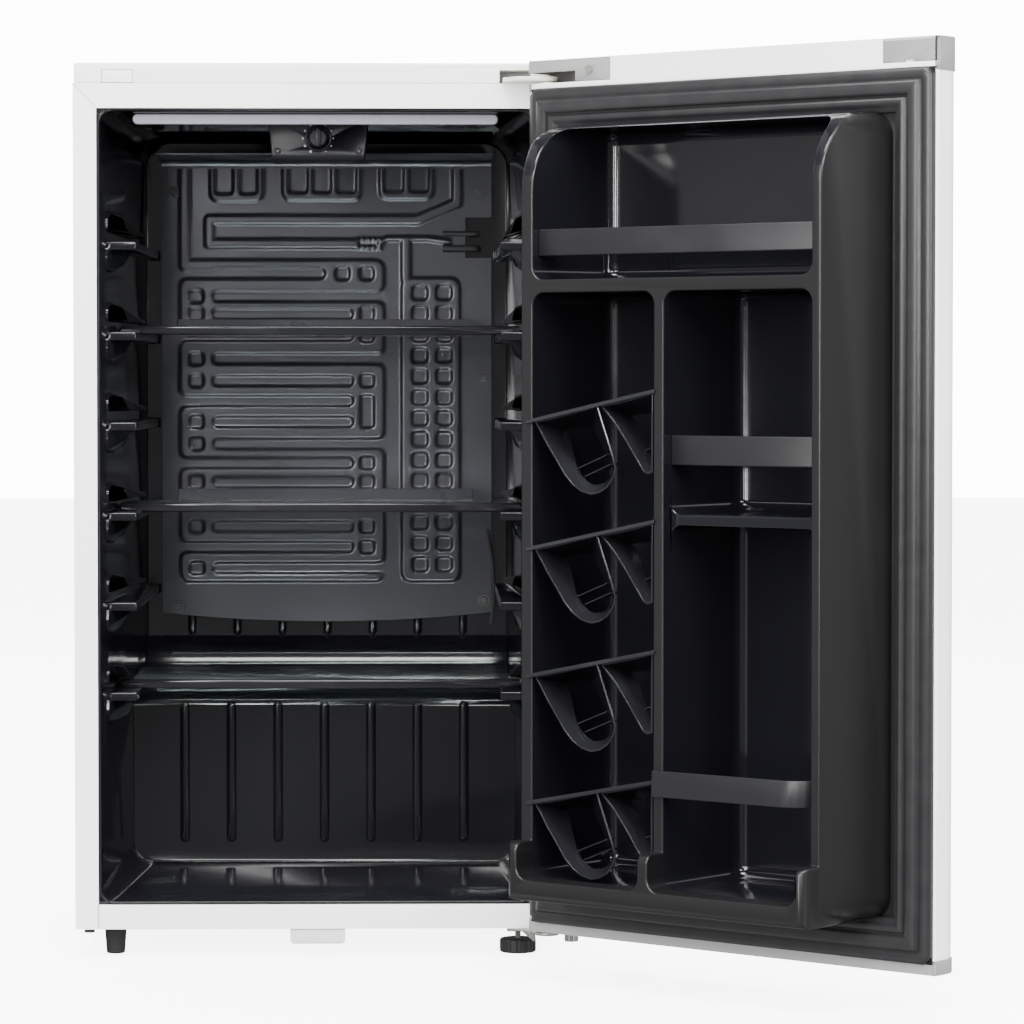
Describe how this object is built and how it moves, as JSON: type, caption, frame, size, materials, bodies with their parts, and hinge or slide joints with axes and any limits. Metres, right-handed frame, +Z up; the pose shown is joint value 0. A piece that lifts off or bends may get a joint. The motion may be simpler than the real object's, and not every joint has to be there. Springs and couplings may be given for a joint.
{
  "type": "mini fridge",
  "caption": "Compact upright refrigerator with a right-hinged door, glass shelves, moulded door pockets, sloping can racks, thermostat dial and rear compressor bay.",
  "frame": {"origin": "on the floor, under the middle of the cabinet's plan, where its four feet stand", "axes": "+Z up; +Y from the front opening to the back; +X to the right seen from the front, towards the door's hinges"},
  "size_m": [0.7777, 0.803, 0.83],
  "materials": {
    "white_enamel": "gloss",
    "white_plastic": "gloss",
    "grey_plastic": "satin",
    "black_liner": "gloss",
    "black_trim": "satin",
    "gasket_rubber": "satin",
    "evaporator_coat": "satin",
    "screw_black": "satin",
    "sleeve_black": "satin",
    "glass": "gloss",
    "housing_dark": "satin",
    "bar_lavender": "satin",
    "zinc_steel": "satin",
    "hinge_cream": "satin",
    "chrome": "polished",
    "foot_black": "matte",
    "clear_tab": "satin",
    "galvanised": "satin",
    "foam": "matte",
    "compressor_black": "satin",
    "copper": "satin",
    "mount_rubber": "matte",
    "drain_grey": "matte"
  },
  "bodies": {
    "cabinet": {"outer_wrapper": "white_enamel", "bottom_rail": "white_enamel", "worktop": "white_plastic", "hinge_recess_plug": "white_plastic", "base_pan": "galvanised", "compressor_bay_panel": "galvanised", "back_panel": "white_enamel", "inner_liner": "black_liner", "insulation_foam": "foam", "evaporator_plate": "evaporator_coat", "evaporator_screws": "screw_black", "evaporator_tubes": "sleeve_black", "compressor": "compressor_black", "compressor_grommets": "mount_rubber", "start_relay_box": "foot_black", "drip_tray": "grey_plastic", "drain_hose": "drain_grey", "refrigerant_lines": "copper", "cord_gland": "foot_black", "left_front_foot": "foot_black", "rear_feet": "foot_black", "lower_tab": "clear_tab", "lower_corner_plug": "screw_black", "top_hinge_leaf": "hinge_cream", "top_hinge_screws": "zinc_steel", "bottom_hinge_bracket": "zinc_steel", "hinge_spacer": "grey_plastic", "thermostat_housing": "housing_dark", "thermostat_switch": "black_trim", "ceiling_bar": "bar_lavender"},
    "door": {"door_skin": "white_enamel", "door_top_rail": "white_plastic", "door_bottom_rail": "grey_plastic", "top_free_cap": "grey_plastic", "top_hinge_cap": "grey_plastic", "bottom_free_cap": "grey_plastic", "hinge_cover_screw": "zinc_steel", "door_liner": "black_liner", "door_foam": "foam", "door_gasket": "gasket_rubber", "top_retainer_bar": "black_trim", "middle_retainer_bar": "black_trim", "bottle_guard": "black_trim", "hinge_bushes": "white_plastic", "door_stop_stud": "chrome", "can_rack_1": "black_trim", "can_rack_2": "black_trim", "can_rack_3": "black_trim", "can_rack_4": "black_trim"},
    "dial": {"thermostat_dial": "housing_dark"},
    "levelling_foot": {"levelling_stud": "zinc_steel", "levelling_knob": "foot_black"},
    "upper_shelf": {"upper_shelf_glass": "glass", "upper_shelf_trim": "black_trim", "upper_shelf_rear_bar": "black_trim"},
    "lower_shelf": {"lower_shelf_glass": "glass", "lower_shelf_trim": "black_trim", "lower_shelf_rear_bar": "black_trim"},
    "bottom_shelf": {"bottom_shelf_glass": "glass", "bottom_shelf_trim": "black_trim"}
  },
  "joints": [
    {"name": "door_hinge", "type": "hinge", "parent": "cabinet", "child": "door", "pos_m": [0.2125, -0.2455, 0.4], "axis": [0, 0, 1], "range_deg": [-139.3, 10]},
    {"name": "dial_turn", "type": "hinge", "parent": "cabinet", "child": "dial", "pos_m": [0, -0.1665, 0.764], "axis": [0, -1, 0], "range_deg": [-135, 135]},
    {"name": "foot_turn", "type": "hinge", "parent": "cabinet", "child": "levelling_foot", "pos_m": [0.187, -0.1775, 0.01], "axis": [0, 0, 1], "continuous": true},
    {"name": "upper_shelf_slide", "type": "slide", "parent": "cabinet", "child": "upper_shelf", "axis": [0, -1, 0], "range_m": [0, 0.13]},
    {"name": "lower_shelf_slide", "type": "slide", "parent": "cabinet", "child": "lower_shelf", "axis": [0, -1, 0], "range_m": [0, 0.13]},
    {"name": "bottom_shelf_slide", "type": "slide", "parent": "cabinet", "child": "bottom_shelf", "axis": [0, -1, 0], "range_m": [0, 0.13]}
  ]
}
